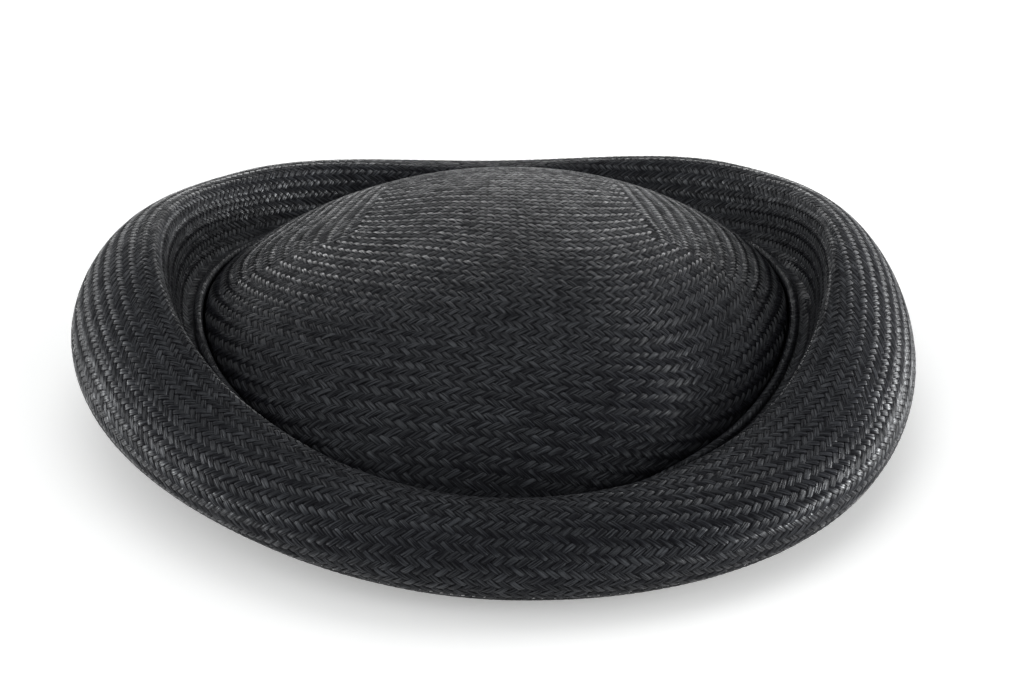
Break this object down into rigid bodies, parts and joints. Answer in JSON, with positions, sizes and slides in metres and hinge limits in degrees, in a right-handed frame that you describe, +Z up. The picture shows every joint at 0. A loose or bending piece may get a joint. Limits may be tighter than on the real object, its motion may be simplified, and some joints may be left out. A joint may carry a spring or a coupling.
{
  "type": "rolled-brim straw hat",
  "caption": "Small black woven straw hat: a low oval dome crown set inside a hollow brim rolled up higher at the sides, with an open head hollow below.",
  "frame": {"origin": "centre of the hat's bounding box, at the bottom, on the plane that the rim of the head opening rests on", "axes": "+Z up through the top of the crown, -Y towards the front of the hat, +X towards the wearer's left, which is on the right in the picture"},
  "size_m": [0.2051, 0.231, 0.043],
  "materials": {
    "black_straw": "flat straw woven in a two-by-two twill, dyed black, with a slight sheen"
  },
  "bodies": {
    "root": {"crown": "black_straw", "brim": "black_straw"}
  },
  "joints": []
}
